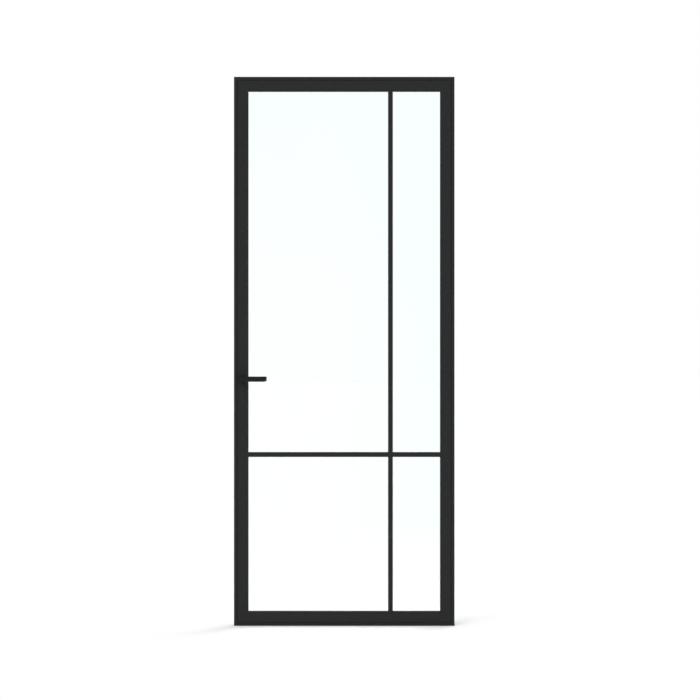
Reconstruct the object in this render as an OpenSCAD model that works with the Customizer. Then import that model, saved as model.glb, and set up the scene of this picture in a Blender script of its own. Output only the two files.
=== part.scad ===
// Glazed steel door with slim bars, hung in its own slim angle frame.
// +X is to the right as seen from the push side, +Y is the side the leaf opens to, +Z is up.
// The origin is at floor level, in the middle of the width and of the leaf's depth.
// u is the distance inward from the outer edge of the frame, the same on all four sides.

/* [Overall] */
// Width over the frame
overall_w = 930; // [800:5:1100]
// Height over the frame
overall_h = 2315; // [1900:5:2600]
// Depth of the frame and of the leaf
leaf_d = 40; // [36:1:60]
// Width of the dark border from the outer edge to the glass
border_w = 60; // [56:1:80]

/* [Frame] */
// Thickness of the leg against the wall
leg_t = 5; // [4:0.5:6]
// Width of the lip seen from the push side
lip_w = 13.5; // [11:0.5:14]
// Thickness of the lip
lip_t = 5; // [4:0.5:7]
// Thickness of the closing seal behind the lip
seal_t = 3; // [2:0.5:5]
// Distance of the seal from the leg
seal_in = 0.5; // [0.3:0.1:1]
// Diameter of the wall fixing holes
fixing_d = 6.5; // [5:0.5:8]
// Diameter of their countersinks
fixing_head_d = 12; // [9:0.5:14]
// Distance of the outer fixing holes from the ends of a jamb
fixing_end = 160; // [100:5:300]
// Distance of the inner fixing holes from the ends of a jamb
fixing_inner = 820; // [700:5:860]

/* [Leaf] */
// Gap between the leaf and the frame's leg
edge_gap = 3; // [2.5:0.5:4]
// Gap between the leaf's face and the frame's lip
face_gap = 1.5; // [1:0.5:3]
// Wall of the hollow leaf sections
wall_t = 2; // [1.5:0.5:3]
// Thickness of the fin that holds the glass from the push side
fin_t = 3; // [2:0.5:4]
// Width of the glazing rebate
rebate_w = 15; // [12:0.5:15]

/* [Glazing] */
// Thickness of the pane
glass_t = 8; // [6:0.5:10]
// Distance of the pane's edge from the rebate's floor
glass_gap = 3; // [2:0.5:5]
// Thickness of a glazing gasket
gasket_t = 3; // [2:0.5:4]
// How far a gasket stays behind the sight line
gasket_in = 1; // [0.5:0.5:2]
// Depth of a glazing bead
bead_d = 14; // [10:1:16]
// Wall of a glazing bead
bead_wall = 1.5; // [1:0.25:2]
// Diameter of a bead screw's shank
bead_screw_d = 3.4; // [3:0.2:4]
// Distance of the first bead screw from the sight line's corner
bead_screw_end = 100; // [60:5:140]
// Length of a setting block
block_len = 80; // [50:5:120]

/* [Bars] */
// Width of a bar
bar_w = 20; // [14:1:30]
// Thickness of a bar
bar_t = 5; // [4:0.5:8]
// Thickness of the bonding tape
tape_t = 1; // [0.5:0.25:2]
// Width of the bonding tape
tape_w = 12; // [8:1:14]
// Distance of the upright bar's centre from the left outer edge
bar_u = 660; // [500:5:700]
// Height of the cross bar's centre
cross_z = 722; // [500:1:900]

/* [Hinges] */
// Diameter of a hinge barrel
barrel_d = 13; // [11:0.5:13]
// Length of half a hinge barrel
barrel_h = 58; // [40:2:80]
// Gap between a barrel and the back of the door
barrel_gap = 0.5; // [0.4:0.1:1.5]
// Diameter of a hinge pin
pin_d = 7; // [6:0.5:8]
// Radial clearance of a hinge pin in the leaf's barrel
pin_clear = 0.05; // [0.03:0.01:0.1]
// How far a hinge pin reaches into each half
pin_reach = 45; // [25:1:52]
// Thickness of a hinge washer
washer_t = 2; // [1:0.5:4]
// Width of the foot that joins a barrel to the leaf
foot_w = 10; // [8:0.5:12]
// Distance of the end hinges' washers from the ends of the frame
hinge_end = 260; // [160:5:400]

/* [Latch] */
// Height of the lever's axis
lever_z = 1040; // [900:5:1100]
// Distance of the lever's axis from the outer edge
spindle_u = 32; // [31.5:0.1:32.2]
// Side of the square spindle
spindle_s = 8; // [7:0.5:8]
// How far the latch reaches out of the leaf
throw_d = 7; // [6.4:0.1:7]
// Turn of the lever that draws the latch in
lever_turn = 35; // [34:0.5:38]
// Depth of the latch's head, across the leaf
latch_d = 10; // [8:0.5:11]
// Height of the latch's head
latch_h = 18; // [16:1:22]
// Clearance of the latch in its face plate
latch_clear = 0.3; // [0.2:0.1:0.6]
// Depth of the latch case, across the leaf
case_d = 16; // [15:0.5:18]
// Wall of the latch case
case_wall = 1.2; // [1:0.1:1.4]
// Width of the face plate and of the strike
plate_w = 20; // [18:1:22]
// Height of the face plate
plate_h = 120; // [110:2:160]
// Thickness of the strike
strike_t = 1.5; // [1:0.25:2]
// Height of the strike
strike_h = 70; // [64:2:100]
// Diameter of the hub
hub_d = 15; // [14:0.5:15.5]
// Diameter of the hub's journals
journal_d = 12.5; // [12:0.25:13]
// Clearance of turning parts, on the radius
turn_clear = 0.12; // [0.08:0.02:0.2]
// Diameter of the plate screws' shanks
plate_screw_d = 4; // [3:0.5:4.5]

/* [Handle] */
// Length of a lever from its axis to its tip
lever_len = 102; // [80:1:140]
// Height of a lever's grip
grip_h = 20; // [18:1:24]
// Thickness of a lever's grip
grip_t = 9; // [7:0.5:12]
// Reach of a lever out from the leaf
reach = 54; // [45:1:65]
// Diameter of a lever's neck
neck_d = 16; // [15:0.5:16.5]
// Diameter of a rose
rose_d = 30; // [29.5:0.5:31]
// Thickness of a rose
rose_t = 8; // [7:0.5:10]
// Wall of a rose's cover
rose_wall = 1.2; // [1:0.1:1.3]
// Thickness of a rose's base
base_t = 4; // [3:0.25:4.5]
// How far the base's spigot enters the leaf
spigot_t = 2; // [1.5:0.5:3]

/* [Hidden] */
$fn = 64;
big = 400;
sides = ["left", "right", "bottom", "top"];
half_w = overall_w / 2;
face_y = -leaf_d / 2;
back_y = leaf_d / 2;
face_u = lip_w + face_gap;
body_u = leg_t + edge_gap;
body_in = border_w - rebate_w;
shoulder_y = face_y + lip_t + seal_t;
glass_y0 = face_y + fin_t + gasket_t;
glass_y1 = glass_y0 + glass_t;
bead_y0 = glass_y1 + gasket_t;
bead_y1 = bead_y0 + bead_d;
bead_mid_y = (bead_y0 + bead_y1) / 2;
bar_x = -half_w + bar_u;
left_sight_x = -half_w + border_w;
right_sight_x = half_w - border_w;
bottom_sight_z = border_w;
top_sight_z = overall_h - border_w;
bead_head_d = bead_screw_d + 2.4;

axis_x = half_w - leg_t - edge_gap / 2;
axis_y = back_y + barrel_gap + barrel_d / 2;
leaf_edge_x = half_w - body_u;
hinge_z = [hinge_end, overall_h / 2, overall_h - hinge_end];
foot_in = 0.4;

spindle_x = -half_w + spindle_u;
lock_y = (shoulder_y + back_y) / 2;
latch_edge_x = -half_w + body_u;
latch_tip_x = latch_edge_x - throw_d;
swing_half = lever_turn / 2;
arm_r = throw_d / 2 / sin(swing_half);
arm_tip_r = 2.2;
arm_w = 3;
arm_t = 6;
arm_gap = 0.3;
latch_z0 = hub_d / 2 + 2.5;
latch_z1 = latch_z0 + latch_h;
latch_mid_z = lever_z + (latch_z0 + latch_z1) / 2;
latch_back_x = latch_edge_x + 12;
tail_z0 = arm_r + arm_tip_r + 1.2;
tail_h = 5;
tab_x = spindle_x - throw_d / 2 + arm_tip_r + arm_gap;
tab_t = 2.5;
case_x0 = latch_edge_x + wall_t;
case_x1 = tab_x + tab_t + throw_d + arm_gap + case_wall;
case_y0 = lock_y - case_d / 2;
case_y1 = lock_y + case_d / 2;
case_z0 = -hub_d / 2 - 6;
case_z1 = latch_z1 + 3;
plate_mid_z = lever_z + (case_z0 + case_z1) / 2;
plate_play = 0.2;
plate_screw_z = plate_h / 2 - 8;
strike_screw_z = strike_h / 2 - 8;
screw_slope = 1.8;
lug_h = 14;
lug_t = 6;
spring_d = 5.5;
spring_z = tail_z0 + tail_h + spring_d / 2 + 0.2;
spring_wire_d = 0.8;
hub_wire_d = 1;
hub_spring_r = hub_d / 2 + hub_wire_d / 2 + 0.4;
strike_y = lock_y;
strike_play = 1;

base_d = rose_d - 2 * rose_wall - 0.2;
hole_d = neck_d + 2;
rose_screw_r = (base_d / 2 + neck_d / 2 + turn_clear) / 2;
rose_screw_d = 2;
rose_head_d = 3.4;
rose_screw_len = base_t + wall_t + 2;
socket_play = 0.1;
set_screw_d = 5;
set_screw_y = rose_t + (reach - grip_t - rose_t) / 2;
grip_corner = 2.5;

BLACK = "#2f2f30";
HANDLE = "#2a2a2b";
STEEL = "#b9bcc0";
RUBBER = "#161617";
BRASS = "#b08d4a";
GLASS = [0.85, 0.96, 0.96, 0.35];

// Length of the member on one side of the ring
function side_length(side) = side == "left" || side == "right" ? overall_h : overall_w;

// Places a member drawn along +Z, with u along +X, on one side of the ring
module on_side(side) {
    if (side == "left") translate([-half_w, 0, 0]) children();
    if (side == "right") mirror([1, 0, 0]) translate([-half_w, 0, 0]) children();
    if (side == "bottom") translate([-half_w, 0, 0]) mirror([1, 0, -1]) children();
    if (side == "top") translate([-half_w, 0, overall_h]) mirror([0, 0, 1]) mirror([1, 0, -1]) children();
}

// Keeps what lies between the two mitre planes of a member
module mitre(len) {
    inner = border_w + 1;
    rotate([90, 0, 0]) linear_extrude(big, center = true)
        polygon([[0, 0], [0, len], [inner, len - inner], [inner, inner]]);
}

// A member with a section drawn in u and y, mitred at both ends
module mitred_member(side) {
    on_side(side) intersection() {
        linear_extrude(side_length(side)) children();
        mitre(side_length(side));
    }
}

// A closed ring between two distances from the outer edge
module ring(u0, u1, y0, y1) {
    difference() {
        translate([-half_w + u0, y0, u0]) cube([overall_w - 2 * u0, y1 - y0, overall_h - 2 * u0]);
        translate([-half_w + u1, y0 - 1, u1]) cube([overall_w - 2 * u1, y1 - y0 + 2, overall_h - 2 * u1]);
    }
}

// A box between two corners
module block(low, high) {
    translate(low) cube(high - low);
}

// A square hole or bar along Y, centred on the lever's axis
module square_along_y(size, y0, y1) {
    block([-size / 2, y0, -size / 2], [size / 2, y1, size / 2]);
}

// A cylinder along +Y from y0 to y1
module round_along_y(d, y0, y1) {
    translate([0, y0, 0]) rotate([-90, 0, 0]) cylinder(d = d, h = y1 - y0);
}

// A countersunk screw along +Z whose head ends at z = 0
module countersunk(d, head_d, len) {
    head_t = (head_d - d) / 2;
    rotate_extrude() polygon([
        [0, -len], [d / 2, -len], [d / 2, -head_t], [head_d / 2, 0], [0, 0]
    ]);
}

// The hole for such a screw, a little over its size and past both ends
module countersunk_hole(d, head_d, len, play = 0) {
    head_t = (head_d - d) / 2;
    r = d / 2 + play;
    rotate_extrude() polygon([
        [0, -len - 1], [r, -len - 1], [r, -head_t], [r + head_t, 0], [r + head_t, 1], [0, 1]
    ]);
}

// A round wire wound into a coil along +Z, as one closed skin
module coil(mean_r, wire_d, len, turns, steps, wire_sides = 8) {
    last = turns * steps;
    rings = [for (i = [0 : last]) let (a = 360 * i / steps, z = len * i / last)
        for (j = [0 : wire_sides - 1])
            let (b = 360 * j / wire_sides, r = mean_r + wire_d / 2 * cos(b))
                [r * cos(a), r * sin(a), z + wire_d / 2 * sin(b)]];
    walls = [for (i = [0 : last - 1]) for (j = [0 : wire_sides - 1])
        let (k = (j + 1) % wire_sides, p = i * wire_sides, q = p + wire_sides)
            each [[p + j, q + j, q + k], [p + j, q + k, p + k]]];
    first_cap = [for (j = [0 : wire_sides - 1]) j];
    last_cap = [for (j = [wire_sides - 1 : -1 : 0]) last * wire_sides + j];
    polyhedron(rings, concat(walls, [first_cap], [last_cap]));
}

// Frame

module frame_section() {
    polygon([
        [0, face_y], [lip_w, face_y], [lip_w, face_y + lip_t],
        [leg_t, face_y + lip_t], [leg_t, back_y], [0, back_y]
    ]);
}

// One countersunk wall fixing, drilled from inside the frame towards the wall
module fixing_hole() {
    translate([leg_t, lock_y, 0]) rotate([0, 90, 0])
        countersunk_hole(fixing_d, fixing_head_d, leg_t);
}

module jamb(side) {
    difference() {
        mitred_member(side) frame_section();
        on_side(side) for (z = [fixing_end, fixing_inner, overall_h - fixing_inner, overall_h - fixing_end])
            translate([0, 0, z]) fixing_hole();
    }
}

module strike_outline(extra) {
    x1 = -half_w + leg_t;
    block([x1 - strike_t, strike_y - plate_w / 2 - extra, latch_mid_z - strike_h / 2 - extra],
          [x1 + extra, strike_y + plate_w / 2 + extra, latch_mid_z + strike_h / 2 + extra]);
}

module strike_opening() {
    d = latch_d / 2 + strike_play;
    h = latch_h / 2 + strike_play;
    block([-half_w - 1, strike_y - d, latch_mid_z - h],
          [-half_w + leg_t + 1, strike_y + d, latch_mid_z + h]);
}

// Places its children at both strike screws, with +Z out of the strike
module at_strike_screws() {
    for (s = [-1, 1])
        translate([-half_w + leg_t, strike_y, latch_mid_z + s * strike_screw_z])
            rotate([0, 90, 0]) children();
}

module frame_lock_jamb() {
    color(BLACK) difference() {
        jamb("left");
        strike_outline(0.1);
        strike_opening();
        at_strike_screws() cylinder(d = plate_screw_d, h = 3 * leg_t, center = true);
    }
}

module frame_hinge_jamb() {
    color(BLACK) jamb("right");
}

module frame_sill() {
    color(BLACK) mitred_member("bottom") frame_section();
}

module frame_head() {
    color(BLACK) mitred_member("top") frame_section();
}

module frame_seal() {
    color(RUBBER) ring(leg_t + seal_in, lip_w, face_y + lip_t, shoulder_y);
}

module strike_plate() {
    color(STEEL) difference() {
        strike_outline(0);
        strike_opening();
        at_strike_screws() countersunk_hole(plate_screw_d, screw_slope * plate_screw_d, leg_t, 0.1);
    }
}

module strike_screws() {
    color(STEEL) at_strike_screws() countersunk(plate_screw_d, screw_slope * plate_screw_d, leg_t);
}

// Hinges

module hinge_frame_barrel(z) {
    color(BLACK) translate([0, 0, z - washer_t / 2 - barrel_h]) difference() {
        linear_extrude(barrel_h) union() {
            translate([axis_x, axis_y]) circle(d = barrel_d);
            polygon([
                [half_w - leg_t + foot_in, back_y], [half_w, back_y],
                [axis_x + barrel_d / 2, axis_y], [axis_x, axis_y]
            ]);
        }
        translate([axis_x, axis_y, barrel_h - pin_reach]) cylinder(d = pin_d, h = barrel_h);
    }
}

module hinge_leaf_barrel(z) {
    color(BLACK) translate([0, 0, z + washer_t / 2]) difference() {
        linear_extrude(barrel_h) union() {
            translate([axis_x, axis_y]) circle(d = barrel_d);
            polygon([
                [leaf_edge_x - foot_w, back_y], [leaf_edge_x - foot_in, back_y], [axis_x, axis_y],
                [axis_x - barrel_d / 2 * cos(30), axis_y + barrel_d / 2 * sin(30)]
            ]);
        }
        translate([axis_x, axis_y, -1]) cylinder(d = pin_d + 2 * pin_clear, h = pin_reach + 2);
    }
}

module hinge_pin(z) {
    color(STEEL) translate([axis_x, axis_y, z - washer_t / 2 - pin_reach])
        cylinder(d = pin_d, h = 2 * pin_reach + washer_t);
}

module hinge_washer(z) {
    color(BRASS) translate([axis_x, axis_y, z - washer_t / 2]) difference() {
        cylinder(d = barrel_d, h = washer_t);
        translate([0, 0, -1]) cylinder(d = pin_d + 2 * pin_clear, h = washer_t + 2);
    }
}

// Leaf

module leaf_section() {
    difference() {
        polygon([
            [face_u, face_y], [border_w, face_y], [border_w, face_y + fin_t],
            [body_in, face_y + fin_t], [body_in, back_y], [body_u, back_y],
            [body_u, shoulder_y], [face_u, shoulder_y]
        ]);
        polygon([
            [face_u + wall_t, face_y + wall_t], [body_in - wall_t, face_y + wall_t],
            [body_in - wall_t, back_y - wall_t], [body_u + wall_t, back_y - wall_t],
            [body_u + wall_t, shoulder_y + wall_t], [face_u + wall_t, shoulder_y + wall_t]
        ]);
    }
}

// Positions along a member for its bead screws
function screw_rows(len, count) =
    let (first = border_w + bead_screw_end, last = len - first)
        [for (i = [0 : count - 1]) first + (last - first) * i / (count - 1)];
function bead_screw_rows(side) =
    screw_rows(side_length(side), side == "left" || side == "right" ? 5 : 3);

// Places its children at the bead screws of one side, with +Z towards the glass opening
module at_bead_screws(side) {
    on_side(side) for (z = bead_screw_rows(side))
        translate([border_w, bead_mid_y, z]) rotate([0, 90, 0]) children();
}

bead_screw_len = rebate_w + wall_t + 1;

module leaf_member(side) {
    difference() {
        mitred_member(side) leaf_section();
        at_bead_screws(side) translate([0, 0, -bead_screw_len - 1])
            cylinder(d = bead_screw_d, h = bead_screw_len);
    }
}

// Places its children at both face plate screws, with +Z out of the leaf's edge
module at_plate_screws() {
    for (s = [-1, 1])
        translate([latch_edge_x, lock_y, plate_mid_z + s * plate_screw_z]) rotate([0, -90, 0]) children();
}

module face_plate_outline(extra) {
    block([latch_edge_x - extra, lock_y - plate_w / 2 - extra, plate_mid_z - plate_h / 2 - extra],
          [latch_edge_x + wall_t, lock_y + plate_w / 2 + extra, plate_mid_z + plate_h / 2 + extra]);
}

// Lugs inside the lock stile that take the face plate's screws
module plate_lugs() {
    for (s = [-1, 1])
        translate([latch_edge_x + wall_t, 0, plate_mid_z + s * plate_screw_z - lug_h / 2])
            block([0, shoulder_y + wall_t, 0], [lug_t, back_y - wall_t, lug_h]);
}

module at_lever() {
    translate([spindle_x, 0, lever_z]) children();
}

// Places its children at the rose screws, with +Z out of the leaf's face
module at_rose_screws(front) {
    at_lever() for (s = [-1, 1])
        translate([0, front ? face_y - base_t : back_y + base_t, s * rose_screw_r])
            rotate([front ? 90 : -90, 0, 0]) children();
}

module leaf_lock_stile() {
    color(BLACK) difference() {
        union() {
            leaf_member("left");
            plate_lugs();
        }
        face_plate_outline(plate_play);
        at_plate_screws() cylinder(d = plate_screw_d, h = 6 * lug_t, center = true);
        at_lever() round_along_y(hole_d, face_y - 1, back_y + 1);
        for (front = [true, false])
            at_rose_screws(front) translate([0, 0, -rose_screw_len])
                cylinder(d = rose_screw_d, h = rose_screw_len);
    }
}

module leaf_hinge_stile() {
    color(BLACK) leaf_member("right");
}

module leaf_bottom_rail() {
    color(BLACK) leaf_member("bottom");
}

module leaf_top_rail() {
    color(BLACK) leaf_member("top");
}

// Glazing

pane_u = body_in + glass_gap;

module glass_pane() {
    color(GLASS) block([-half_w + pane_u, glass_y0, pane_u], [half_w - pane_u, glass_y1, overall_h - pane_u]);
}

module setting_blocks() {
    inner_w = overall_w - 2 * pane_u;
    color(RUBBER) for (s = [-1, 1])
        translate([s * inner_w / 4, glass_y0, body_in])
            block([-block_len / 2, 0, 0], [block_len / 2, glass_t, glass_gap]);
}

module front_gasket() {
    color(RUBBER) ring(body_in, border_w - gasket_in, face_y + fin_t, glass_y0);
}

module rear_gasket() {
    color(RUBBER) ring(body_in, border_w - gasket_in, glass_y1, bead_y0);
}

module bead_section() {
    difference() {
        translate([body_in, bead_y0]) square([rebate_w, bead_d]);
        translate([body_in + bead_wall, bead_y0 + bead_wall])
            square([rebate_w - 2 * bead_wall, bead_d - 2 * bead_wall]);
    }
}

module bead(side) {
    color(BLACK) difference() {
        mitred_member(side) bead_section();
        at_bead_screws(side) countersunk_hole(bead_screw_d, bead_head_d, rebate_w, 0.1);
    }
}

module bead_screws() {
    color(STEEL) for (side = sides) at_bead_screws(side)
        countersunk(bead_screw_d, bead_head_d, bead_screw_len);
}

// Bars bonded to both faces of the glass

function bar_y(front) = front ? glass_y0 - tape_t - bar_t : glass_y1 + tape_t;
function tape_y(front) = front ? glass_y0 - tape_t : glass_y1;

// An upright strip over the whole opening
module upright(w, y0, t, z0, z1) {
    block([bar_x - w / 2, y0, z0], [bar_x + w / 2, y0 + t, z1]);
}

// A level strip at the cross bar's height
module level(w, y0, t, x0, x1) {
    block([x0, y0, cross_z - w / 2], [x1, y0 + t, cross_z + w / 2]);
}

module upright_bar(front) {
    color(BLACK) upright(bar_w, bar_y(front), bar_t, bottom_sight_z, top_sight_z);
}

module left_cross_bar(front) {
    color(BLACK) level(bar_w, bar_y(front), bar_t, left_sight_x, bar_x - bar_w / 2);
}

module right_cross_bar(front) {
    color(BLACK) level(bar_w, bar_y(front), bar_t, bar_x + bar_w / 2, right_sight_x);
}

module bar_tape(front) {
    color(RUBBER) {
        upright(tape_w, tape_y(front), tape_t, bottom_sight_z, top_sight_z);
        level(tape_w, tape_y(front), tape_t, left_sight_x, bar_x - bar_w / 2);
        level(tape_w, tape_y(front), tape_t, bar_x + bar_w / 2, right_sight_x);
    }
}

// Latch

module case_shell() {
    difference() {
        block([case_x0, case_y0, lever_z + case_z0], [case_x1, case_y1, lever_z + case_z1]);
        block([case_x0 - 1, case_y0 + case_wall, lever_z + case_z0 + case_wall],
              [case_x1 - case_wall, case_y1 + 1, lever_z + case_z1 - case_wall]);
        at_lever() round_along_y(journal_d + 2 * turn_clear, -big, big);
    }
}

module latch_case() {
    color(STEEL) difference() {
        case_shell();
        block([case_x0 - 1, case_y1 - case_wall, lever_z + case_z0 - 1],
              [case_x1 + 1, case_y1 + 1, lever_z + case_z1 + 1]);
    }
}

module latch_case_cover() {
    color(STEEL) difference() {
        block([case_x0, case_y1 - case_wall, lever_z + case_z0], [case_x1, case_y1, lever_z + case_z1]);
        at_lever() round_along_y(journal_d + 2 * turn_clear, -big, big);
    }
}

module latch_face_plate() {
    d = latch_d / 2 + latch_clear;
    h = latch_h / 2 + latch_clear;
    color(STEEL) difference() {
        face_plate_outline(0);
        block([latch_edge_x - 1, lock_y - d, latch_mid_z - h],
              [latch_edge_x + wall_t + 1, lock_y + d, latch_mid_z + h]);
        at_plate_screws() countersunk_hole(plate_screw_d, screw_slope * plate_screw_d, wall_t, 0.1);
    }
}

module face_plate_screws() {
    color(STEEL) at_plate_screws() countersunk(plate_screw_d, screw_slope * plate_screw_d, wall_t + lug_t);
}

// The head has its slope on the side that meets the strike when the leaf closes
module latch_bolt() {
    tip_flat = 2;
    y0 = lock_y - latch_d / 2;
    y1 = lock_y + latch_d / 2;
    tail_y = arm_t / 2 - 0.5;
    color(STEEL) union() {
        translate([0, 0, lever_z + latch_z0]) linear_extrude(latch_h) polygon([
            [latch_back_x, y0], [latch_edge_x, y0], [latch_tip_x, y1 - tip_flat],
            [latch_tip_x, y1], [latch_back_x, y1]
        ]);
        block([latch_back_x, lock_y - tail_y, lever_z + tail_z0],
              [tab_x + tab_t, lock_y + tail_y, lever_z + tail_z0 + tail_h]);
        block([tab_x, lock_y - tail_y, lever_z + arm_r - arm_tip_r],
              [tab_x + tab_t, lock_y + tail_y, lever_z + tail_z0 + tail_h]);
    }
}

module latch_spring() {
    len = case_x1 - case_wall - latch_back_x;
    color(STEEL) translate([latch_back_x + spring_wire_d / 2, lock_y, lever_z + spring_z]) rotate([0, 90, 0])
        coil((spring_d - spring_wire_d) / 2, spring_wire_d, len - spring_wire_d, 7, 16, 6);
}

// A coil round the hub, beside the arm that it turns back
module hub_spring() {
    coil_y0 = case_y0 + case_wall + hub_wire_d / 2;
    coil_y1 = lock_y - arm_t / 2 - hub_wire_d / 2;
    color(STEEL) at_lever() translate([0, coil_y0, 0]) rotate([-90, 0, 0])
        coil(hub_spring_r, hub_wire_d, coil_y1 - coil_y0, 3, 20, 6);
}

// Handle

// Mirrors what is drawn for the push side to the other side of the leaf
module both_faces(front) {
    if (front) children();
    else mirror([0, 1, 0]) children();
}

module rose_base(front) {
    color(STEEL) difference() {
        at_lever() both_faces(front) difference() {
            union() {
                round_along_y(base_d, face_y - base_t, face_y);
                round_along_y(hole_d, face_y, face_y + spigot_t);
            }
            round_along_y(neck_d + 2 * turn_clear, face_y - base_t - 1, face_y + spigot_t + 1);
        }
        at_rose_screws(front) countersunk_hole(rose_screw_d, rose_head_d, base_t, 0.1);
    }
}

module rose_cover(front) {
    color(HANDLE) at_lever() both_faces(front) difference() {
        round_along_y(rose_d, face_y - rose_t, face_y);
        round_along_y(rose_d - 2 * rose_wall, face_y - rose_t + rose_wall, face_y + 1);
        round_along_y(neck_d + 2 * turn_clear, face_y - rose_t - 1, face_y);
    }
}

module rose_screws() {
    color(STEEL) for (front = [true, false]) at_rose_screws(front)
        countersunk(rose_screw_d, rose_head_d, rose_screw_len);
}

// The grip's outline seen square on, round at the neck and with soft corners at the tip
module grip_outline() {
    h = grip_h / 2;
    c = grip_corner;
    circle(r = h);
    translate([0, -h]) square([lever_len - c, grip_h]);
    translate([0, -h + c]) square([lever_len, grip_h - 2 * c]);
    for (s = [-1, 1]) translate([lever_len - c, s * (h - c)]) circle(r = c);
}

module lever(front) {
    grip_y = face_y - reach;
    color(HANDLE) at_lever() both_faces(front) difference() {
        union() {
            translate([0, grip_y + grip_t, 0]) rotate([90, 0, 0]) linear_extrude(grip_t) grip_outline();
            round_along_y(neck_d, grip_y + grip_t / 2, face_y + spigot_t);
        }
        square_along_y(spindle_s + socket_play, grip_y + grip_t, face_y + spigot_t + 1);
        translate([0, face_y - set_screw_y, -neck_d]) cylinder(d = set_screw_d, h = neck_d);
    }
}

module spindle() {
    end_y = face_y - reach + grip_t + 1;
    color(STEEL) at_lever() square_along_y(spindle_s, end_y, -end_y);
}

module lever_set_screws() {
    len = (neck_d - spindle_s) / 2 - 0.6;
    color(STEEL) at_lever() for (front = [true, false]) both_faces(front)
        translate([0, face_y - set_screw_y, -spindle_s / 2 - len]) difference() {
            cylinder(d = set_screw_d, h = len);
            translate([0, 0, -1]) cylinder(d = set_screw_d / 2, h = 1 + len / 2, $fn = 6);
        }
}

// The arm leans away from the tab by half the turn, so that it pushes evenly
module hub() {
    body_y0 = case_y0 + case_wall + turn_clear;
    body_y1 = case_y1 - case_wall - turn_clear;
    color(STEEL) at_lever() difference() {
        union() {
            round_along_y(hub_d, body_y0, body_y1);
            round_along_y(journal_d, case_y0, case_y1);
            rotate([0, -swing_half, 0]) {
                block([-arm_w / 2, lock_y - arm_t / 2, 0], [arm_w / 2, lock_y + arm_t / 2, arm_r]);
                translate([0, 0, arm_r]) round_along_y(2 * arm_tip_r, lock_y - arm_t / 2, lock_y + arm_t / 2);
            }
        }
        square_along_y(spindle_s + socket_play, case_y0 - 1, case_y1 + 1);
    }
}

frame_lock_jamb();
frame_hinge_jamb();
frame_sill();
frame_head();
frame_seal();
strike_plate();
strike_screws();
hinge_frame_barrel(hinge_z[0]);  // hinge_frame_barrel_bottom
hinge_frame_barrel(hinge_z[1]);  // hinge_frame_barrel_middle
hinge_frame_barrel(hinge_z[2]);  // hinge_frame_barrel_top
hinge_pin(hinge_z[0]);  // hinge_pin_bottom
hinge_pin(hinge_z[1]);  // hinge_pin_middle
hinge_pin(hinge_z[2]);  // hinge_pin_top
hinge_washer(hinge_z[0]);  // hinge_washer_bottom
hinge_washer(hinge_z[1]);  // hinge_washer_middle
hinge_washer(hinge_z[2]);  // hinge_washer_top
leaf_lock_stile();
leaf_hinge_stile();
leaf_bottom_rail();
leaf_top_rail();
hinge_leaf_barrel(hinge_z[0]);  // hinge_leaf_barrel_bottom
hinge_leaf_barrel(hinge_z[1]);  // hinge_leaf_barrel_middle
hinge_leaf_barrel(hinge_z[2]);  // hinge_leaf_barrel_top
glass_pane();
setting_blocks();
front_gasket();
rear_gasket();
bead("left");  // bead_lock_side
bead("right");  // bead_hinge_side
bead("bottom");  // bead_bottom
bead("top");  // bead_top
bead_screws();
upright_bar(true);  // front_upright_bar
left_cross_bar(true);  // front_left_cross_bar
right_cross_bar(true);  // front_right_cross_bar
bar_tape(true);  // front_bar_tape
upright_bar(false);  // rear_upright_bar
left_cross_bar(false);  // rear_left_cross_bar
right_cross_bar(false);  // rear_right_cross_bar
bar_tape(false);  // rear_bar_tape
latch_case();
latch_case_cover();
latch_face_plate();
face_plate_screws();
latch_spring();
hub_spring();
rose_base(true);  // front_rose_base
rose_base(false);  // rear_rose_base
rose_cover(true);  // front_rose_cover
rose_cover(false);  // rear_rose_cover
rose_screws();
lever(true);  // front_lever
lever(false);  // rear_lever
spindle();
hub();
lever_set_screws();
latch_bolt();
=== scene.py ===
"""Glazed steel door in its own slim frame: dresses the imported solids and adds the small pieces."""
import logging
import math
from dataclasses import dataclass, field
from enum import Enum
from functools import cached_property
from typing import Iterable, Sequence

import bmesh
import bpy
from bmesh.types import BMesh
from bpy.types import ID, Material, Node, NodeOutputs, NodeSocket, NodeTree, Object
from mathutils import Matrix, Vector


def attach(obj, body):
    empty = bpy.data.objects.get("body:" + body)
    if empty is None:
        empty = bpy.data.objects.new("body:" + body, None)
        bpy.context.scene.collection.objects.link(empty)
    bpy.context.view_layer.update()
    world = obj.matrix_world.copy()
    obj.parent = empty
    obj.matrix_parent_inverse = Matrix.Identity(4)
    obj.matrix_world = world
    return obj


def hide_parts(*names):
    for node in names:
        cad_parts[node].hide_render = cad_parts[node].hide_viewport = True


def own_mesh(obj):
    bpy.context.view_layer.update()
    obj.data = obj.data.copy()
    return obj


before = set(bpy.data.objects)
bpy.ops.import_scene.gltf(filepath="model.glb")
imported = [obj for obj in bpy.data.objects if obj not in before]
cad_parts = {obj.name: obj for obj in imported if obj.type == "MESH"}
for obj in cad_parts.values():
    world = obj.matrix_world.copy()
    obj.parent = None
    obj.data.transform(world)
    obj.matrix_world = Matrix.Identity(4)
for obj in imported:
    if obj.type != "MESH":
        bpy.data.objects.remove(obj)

LOG = logging.getLogger("glass_door")
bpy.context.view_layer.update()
MM = 0.001
QUARTER = math.pi / 2
HALF_W = 465.0  # half of the frame's outer width, in mm
HEIGHT = 2315.0  # the frame's outer height, in mm
Colour = tuple[float, float, float]
Point = tuple[float, float, float]
Pair = tuple[float, float]
Section = list[Pair]  # pairs of u, the distance in from the frame's outer edge, and y
Sockets = Sequence[tuple[str, str]]  # name and kind of each socket, such as Color or Float
Values = dict[str, object]  # what goes into the inputs of a node, by name
MESH: Sockets = [("Geometry", "Geometry")]


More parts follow.
